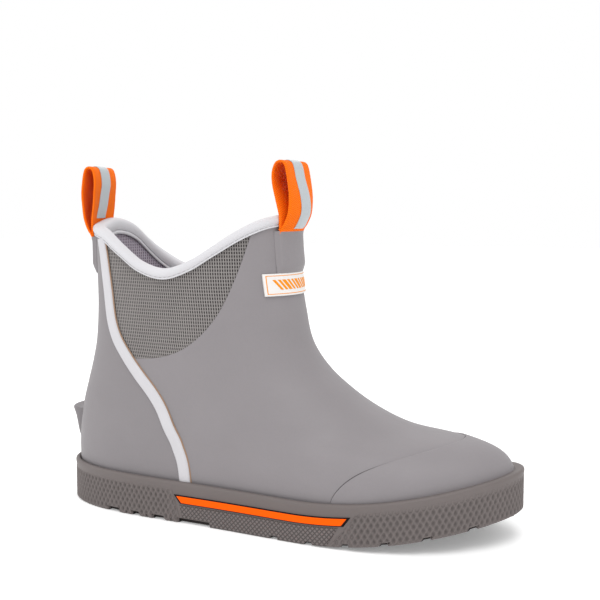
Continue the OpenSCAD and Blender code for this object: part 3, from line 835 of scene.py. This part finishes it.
def webbing_rows(spec, width, across):
    """Grid of the whole strip's middle surface: up one tail, round the loop, down the other."""
    u = np.linspace(-1, 1, across)
    tail_z = np.linspace(spec["pinch"] - spec["tail"], spec["pinch"] - 1.5, 12)
    t = spec["t0"] + u * spec["degrees"] * width / 2
    flush = 0.68 + 0.32 * bump(tail_z, tail_z[0], tail_z[0] + 7)
    sheets = [wall(t, tail_z[:, None] + 0 * t, off * flush[:, None] + 0 * t) for off in (2.3, 1.15)]
    loop = loop_middle(spec, np.arange(6, 355, 4)[:, None], u, width)
    rows = np.concatenate([sheets[0], loop, sheets[1][::-1]])
    for _ in range(3):
        rows[1:-1] = (rows[:-2] + 2 * rows[1:-1] + rows[2:]) / 4
    thick = np.concatenate([np.full(11, 0.5), [0.62], np.full(len(loop), 0.75), [0.62], np.full(11, 0.5)])
    return rows, thick


def slab(name, rows, low, high, material, wobble=0.0):
    """Closed strip on both sides of a middle surface, with rounded long edges."""
    along = np.gradient(rows, axis=0)
    sideways = np.gradient(rows, axis=1)
    n = np.cross(along, sideways)
    n /= np.linalg.norm(n, axis=-1, keepdims=True)
    across = run_length(rows, 1)
    from_edge = np.minimum(across, across[:, -1:] - across)
    full = np.sqrt(np.clip(1 - (1 - np.clip(from_edge / 0.8, 0, 1)) ** 2, 0.12, 1))
    middle, half = (low + high) / 2, (high - low) / 2
    run = run_length(rows, 0)
    ripple = wobble * np.sin(2 * np.pi * run / 2.2 + np.pi * (from_edge < 0.9))
    grain = np.stack([across, run, 0 * run], axis=-1)
    front = rows + n * (middle + half * full + ripple)[..., None]
    back = rows + n * (middle - half * full - ripple)[..., None]
    return shell(name, front, back, material, False, grain, 50)


def make_loop(spec, name, tab, tape_angles):
    """One pull loop: webbing through its tails, and the grey tape down its middle."""
    rows, thick = webbing_rows(spec, WEBBING_WIDTH, 45)
    webbing = slab(name + "_webbing", rows, -thick[:, None], thick[:, None], orange_webbing, 0.035)
    hinge = loop_axes(spec)[2]
    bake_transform(webbing)
    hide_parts(name + "_pull_loop", name + "_loop_tail")
    u = np.linspace(-1, 1, 15)
    rows = loop_middle(spec, np.arange(*tape_angles, 4)[:, None], u, TAPE_WIDTH)
    low, high = (np.full((len(rows), 1), off) for off in (0.7, 1.15))
    tape_piece = slab(name + "_loop_tape", rows, low, high, tape)
    settle(tape_piece, "reflective_tape", name + "_loop_tape", body=tab)


def make_collar_pieces():
    """Rubber strips over the loops' tails, moulded nearly flush along their edges."""
    for spec, name, material, drop in ((FRONT_LOOP, "front_tail_cover", upper_rubber, 26.8),
                                       (REAR_LOOP, "rear_tail_cover", quarter_rubber, 23.5)):
        half, top = spec["degrees"] * WEBBING_WIDTH / 2 + 2.6, spec["pinch"] - 0.8
        low = top - drop

        def drape(t, z, face):
            """Falls towards the side edges and the foot, and stands open a little at the top."""
            d = run_length(face, 0)
            d = np.minimum(d, d[-1:] - d)
            return (-2.45 * (1 - bump(d, 0.1, 3.4) * bump(z, low - 1.5, low + 7))
                    + 0.45 * bump(z, top - 3.5, top) * bump(d, 0.5, 4))

        obj = patch(name, spec["t0"], half, low, top, 0.1, 3.2, material, (80, 40), 0.6, drape)
        settle(obj, "upper_rubber", name)


def make_label():
    """White label below the front strip, with an orange frame and slanted bars."""
    half, low, high = 32.5, 140.5, 154.0
    field = patch("label", 0, half, low, high, 0.1, 1.35, label_white, (120, 24), 0.35)
    settle(field, "label_rubber", "label")
    inset, line, face = 1.1, 0.42, (1.25, 1.45)
    deg = 1 / 0.62  # degrees to a millimetre
    frame_low, frame_high = low + inset, high - inset
    left, right = -half + inset * deg, half - inset * deg
    parts = [(left, right, frame_low, frame_low + line), (left, right, frame_high - line, frame_high),
             (left, left + line * deg, frame_low, frame_high),
             (right - line * deg, right, frame_low, frame_high)]
    for i, (a, b, z1, z2) in enumerate(parts):
        strip = patch(f"label_frame_{i}", (a + b) / 2, (b - a) / 2, z1, z2, *face, label_orange,
                      (max(4, int(abs(b - a) * 1.5)), 4), 0.12)
        settle(strip, "label_rubber")
    make_label_bars(frame_low + 2.6, frame_high - 2.6, face)


def make_label_bars(low, high, face):
    """Row of slanted bars, a plain motif in place of lettering."""
    solids, lean = [], 3.0
    for k, centre in enumerate(np.linspace(-22, 22, 12)):
        width = 2.4 if k % 3 else 3.4
        z = np.linspace(low, high, 7)
        rings = []
        for zz in z:
            a = centre + lean * ((zz - low) / (high - low) - 0.5) * 2
            t = a + np.array([-0.5, -0.45, 0.45, 0.5, 0.5, -0.5]) * width
            rings.append(wall(t, np.full(6, zz), np.array([face[1] - 0.1, face[1], face[1], face[1] - 0.1,
                                                           face[0], face[0]])))
        solids.append(rings)
    settle(many("label_bars", np.array(solids), label_orange), "label_rubber")


# ---------------------------------------------------------------- sole

# Notches along the tread's edge: from and to along the sole, and how high they cut
NOTCHES = [(45, 54.5, 2.6), (60.2, 61.3, 1.6), (65, 71, 2.5), (76.2, 77.3, 1.6), (81, 90, 2.5),
           (94.5, 95.6, 1.6), (100, 122.5, 2.9)]
NOTCHES += [(165 + 22.6 * i, 169.6 + 22.6 * i, 1.8) for i in range(6)]
PANEL_LOW, PIT_DEPTH = 0.55, 1.0


def notch_height(t):
    """How far the sole's lower edge rises into the notches."""
    x = sole_x(t)
    rise = 0 * x
    for start, end, high in NOTCHES:
        rise = np.maximum(rise, high * np.clip(np.minimum(x - start, end - x) / 0.35 + 1, 0, 1))
    return rise


def sole_columns(start, end, step=0.45):
    """Angles from start to end, a step apart along the sole's edge and closer at the notches."""
    fine = np.arange(start, end + 0.01, 0.02)
    weight = 1 + 4 * np.clip(np.abs(np.gradient(notch_height(fine), fine)) * 2, 0, 1)
    run = np.append(0, np.cumsum(np.diff(along_edge(fine)) * weight[1:]))
    return np.interp(np.linspace(0, run[-1], int(run[-1] / step)), run, fine)


def make_sidewall():
    """Rubber wall round the sole, with the rolled lip along its top."""
    t = sole_columns(0, 360, 0.8)[:-1]
    low, top = notch_height(t), lip(t)
    sunk = -1.0 * np.maximum(1 - bump(turn(t), 60, 64), bump(turn(t), 112, 116))
    outside = [
        (low + 0.25, -2.4), (low + 0.12, -0.5), (low + 0.2, -0.15), (low + 0.55, 0.0), (low + 1.0, 0.0),
        (low + 1.6, sunk), (top - 10, sunk), (top - 8.0, 0.8 * sunk), (top - 7.0, 0.15), (top - 5.5, 0.45),
        (top - 4.2, 0.62), (top - 3.0, 0.8), (top - 2.2, 0.88), (top - 1.5, 0.8), (top - 0.95, 0.5),
        (top - 0.55, 0.0), (top - 0.35, -0.6), (top - 0.3, -1.1)]
    against_upper = [(top - 0.5, 1.0), (top - 1.0, 0.6), (top - 1.9, 0.3), (top - 6, 0.2), (SIDEWALL_LOW, 0.2)]
    inside = [(SIDEWALL_LOW, -4.6), (5.4 + low, -4.6)]
    columns = [surface(t, z + 0 * t, off + 0 * t)
               for surface, rows in ((edge, outside), (wall, against_upper), (edge, inside)) for z, off in rows]
    rings = np.stack(columns, axis=1)
    run = along_edge(t)
    grain = np.stack(np.broadcast_arrays(run[:, None], rings[..., 2], 0.0), axis=-1)
    settle(sweep("sidewall", rings, lip_rubber, wrap=True, grain=grain, sharp=50), "sole_rubber", "sidewall")


def make_tread_core():
    """Lugs of the tread behind the notches in its edge, in rubber darkened as painted shade so the notches read
    black.
    """
    t = np.arange(0, 360, 1.0)
    outline = [(-3.2, 0.35), (-2.8, 0.6), (-2.8, 3.6), (-3.2, 3.9),
               (-5.6, 3.9), (-6.0, 3.6), (-6.0, 0.6), (-5.6, 0.35)]
    rings = np.stack([edge(t, z + 0 * t, off + 0 * t) for off, z in outline], axis=1)
    settle(sweep("tread_core", rings, tread_rubber_painted_shade, wrap=True), "sole_rubber")


def textured(name, ends, slants, high, outer, material, rows, slot, detail=None, step=0.9, inner=-0.6,
             floor=None):
    """Layer on the sidewall between two angles, which shift by the slants from its foot to its top."""
    start, end = ends
    foot = sole_columns(start, end, step)
    share = (foot - start) / (end - start)
    v = np.concatenate([[0, 0.02, 0.05], np.linspace(0.08, 0.92, rows), [0.95, 0.98, 1]])
    low = notch_height(foot) + PANEL_LOW if floor is None else floor + 0 * foot
    z = low[:, None] + (high - low[:, None]) * v
    base = floor or 0.0
    slant = slants[0] + (slants[1] - slants[0]) * share[:, None]
    t = foot[:, None] + slant * (z - base) / (high - base)
    face, sides = edge(t, z, 0 * z), ("u0", "u1", "v0", "v1")
    s = along_edge(t, 0.0 if start < 0 else 180.0)
    sunk = detail(s, z, edge_drop(face, 1.2, sides)) if detail else 0 * z
    off = outer - edge_drop(face, 0.5, sides) + sunk
    # the third number, the pit depth, sets the painted shade in the bumpers' pits
    grain = np.stack([s, z, np.clip(-sunk / PIT_DEPTH, 0, 1)], axis=-1)
    obj = shell(name, edge(t, z, off), edge(t, z, inner + 0 * z), material, False, grain, 60)
    settle(obj, slot, name)


def pits(s, z, border):
    """Coarse diamond pits of the bumpers, fading out at their border."""
    wide, tall = 3.7, 6.2
    wave = np.abs(np.sin(np.pi * (s / wide + z / tall))) * np.abs(np.sin(np.pi * (s / wide - z / tall)))
    return -PIT_DEPTH * wave * (1 - np.clip(border / 0.5, 0, 1))


def make_sole():
    """Sidewall, textured bumpers and side panels, and the stripe on each side."""
    make_sidewall()
    make_tread_core()
    for end, ends, slants, high in (("toe", (-69.3, 69.3), (7.8, -7.8), 20.3),
                                    ("heel", (108.7, 251.3), (2.8, -2.8), 21.0)):
        textured(end + "_bumper", ends, slants, high, 0.75, bumper_rubber, 44, "bumper_rubber", pits, 0.45, -0.8)
    for side, ends, slants, (start, end) in (("outer", (69.9, 108.1), (-3.0, 1.1), (65.5, 109.0)),
                                             ("inner", (251.9, 290.1), (-1.1, 3.0), (251.0, 294.5))):
        textured(side + "_side_panel", ends, slants, 11.4, 0.55, panel_rubber, 14, "sole_rubber")
        textured(side + "_stripe_bed", (start, end), (-1.75, 1.75), 17.5, 0.85, black_rubber, 6, "black_stripe",
                 floor=12.3)
        textured(side + "_stripe", (start + 0.45, end - 0.45), (-1.5, 1.5), 17.0, 1.2, orange_rubber, 6,
                 "orange_stripe", floor=12.85)


# ---------------------------------------------------------------- CAD parts that keep their shape


def finish_cad_parts():
    """Materials for the CAD parts inside the boot and under it."""
    looks = {
        # the outsole takes the tread's rubber darkened as painted shade
        "outsole": tread_rubber_painted_shade,
        "midsole": rubber("midsole_foam", (0.66, 0.63, 0.58), 0.7, 0.85, 0.04, 0.08),
        "shank": rubber("shank_steel", (0.50, 0.51, 0.53), 0.25, 0.4, 0.04, 0.02, Metallic=1.0),
        "insole_board": rubber("insole_fibreboard", (0.42, 0.31, 0.19), 0.75, 0.9, 0.10, 0.06),
        "footbed": rubber("footbed_foam", (0.07, 0.09, 0.115), 0.75, 0.9, 0.06, 0.08),
        "footbed_cover": rubber("footbed_cloth", (0.035, 0.042, 0.052), 0.8, 0.95, 0.10, 0.15),
        "toe_puff": rubber("stiffener", (0.56, 0.49, 0.37), 0.7, 0.85, 0.05, 0.05),
    }
    looks["heel_counter"] = looks["toe_puff"]
    for name, material in looks.items():
        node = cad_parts[name]
        node.data.materials.clear()
        node.data.materials.append(material)


# ---------------------------------------------------------------- stage


def make_stage():
    """Pale floor, soft lights and the camera."""
    bpy.ops.mesh.primitive_plane_add(size=8.0, location=(0, 0, 0))
    floor = bpy.context.object
    floor.name = "floor"
    paper = Look("paper", (0.9, 0.9, 0.9), 0.9, Emission_Color=(1, 1, 1, 1), Emission_Strength=0.22)
    paper.mottle(3, 0.004)
    floor.data.materials.append(paper.material)
    world = bpy.data.worlds.new("world")
    world.use_nodes = True
    world.node_tree.nodes["Background"].inputs["Color"].default_value = (1, 1, 1, 1)
    world.node_tree.nodes["Background"].inputs["Strength"].default_value = 1.0
    bpy.context.scene.world = world
    aim = Vector((0.0, 0.0, 0.09))
    for name, spot, size, power in [
            ("key", (0.35, -0.7, 1.45), 0.9, 9.0), ("left", (-1.3, -0.4, 0.7), 0.7, 3.0),
            ("back", (-0.3, 1.0, 1.1), 0.9, 3.0)]:
        data = bpy.data.lights.new(name, "AREA")
        data.size, data.energy = size, power
        light = bpy.data.objects.new(name, data)
        light.visible_camera = False
        light.location = spot
        light.rotation_euler = (aim - Vector(spot)).to_track_quat("-Z", "Y").to_euler()
        bpy.context.scene.collection.objects.link(light)
    azimuth, elevation, distance = math.radians(23.5), math.radians(5.3), 0.650
    target = Vector((0.012, 0.0, 0.1365))
    back = Vector((math.sin(azimuth) * math.cos(elevation), -math.cos(azimuth) * math.cos(elevation),
                   math.sin(elevation)))
    camera = bpy.data.objects.new("camera", bpy.data.cameras.new("camera"))
    camera.data.lens, camera.data.sensor_width = 62.76, 36.0
    camera.location = target + distance * back
    camera.rotation_euler = back.to_track_quat("Z", "Y").to_euler()
    bpy.context.scene.collection.objects.link(camera)
    bpy.context.scene.camera = camera
    bpy.context.scene.view_settings.view_transform = "Standard"


make_vamp()
make_quarter()
make_gores()
make_toe_cap()
make_piping()
make_binding()
make_lining()
make_kick()
make_collar_pieces()
make_label()
make_loop(FRONT_LOOP, "front", "front_tab", (3, 305))
make_loop(REAR_LOOP, "rear", "rear_tab", (3, 305))
make_sole()
finish_cad_parts()
make_stage()
